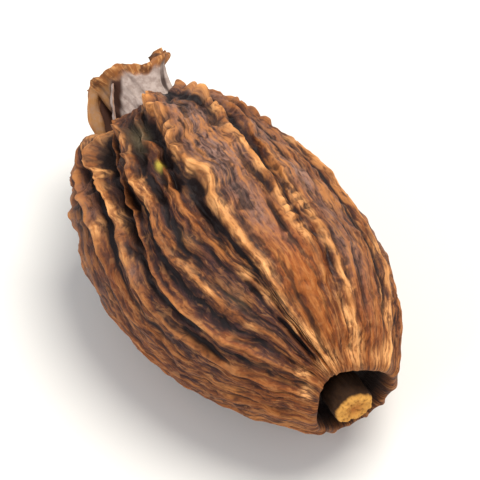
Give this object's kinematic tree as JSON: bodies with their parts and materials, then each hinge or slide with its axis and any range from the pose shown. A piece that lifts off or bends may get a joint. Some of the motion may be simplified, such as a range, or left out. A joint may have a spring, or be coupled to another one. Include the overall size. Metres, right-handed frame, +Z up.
{
  "type": "black cardamom pod",
  "caption": "Dried black cardamom pod: an egg-shaped, deeply ribbed brown husk with its withered flower tube at one end and a broken stalk at the other, lying on its side.",
  "frame": {"origin": "under the middle of the pod's bounding box, on the surface it rests on", "axes": "+Z up; +X along the pod towards the broken stalk, -X towards the withered flower tube"},
  "size_m": [0.031, 0.0178, 0.0173],
  "materials": {
    "husk": "dry, fibrous, matte with a slight sheen on the crests",
    "flower_tube": "papery, matte",
    "stalk_stub": "fibrous broken end, matte"
  },
  "bodies": {
    "root": {"husk": "husk", "flower_tube": "flower_tube", "stalk_stub": "stalk_stub"}
  },
  "joints": []
}
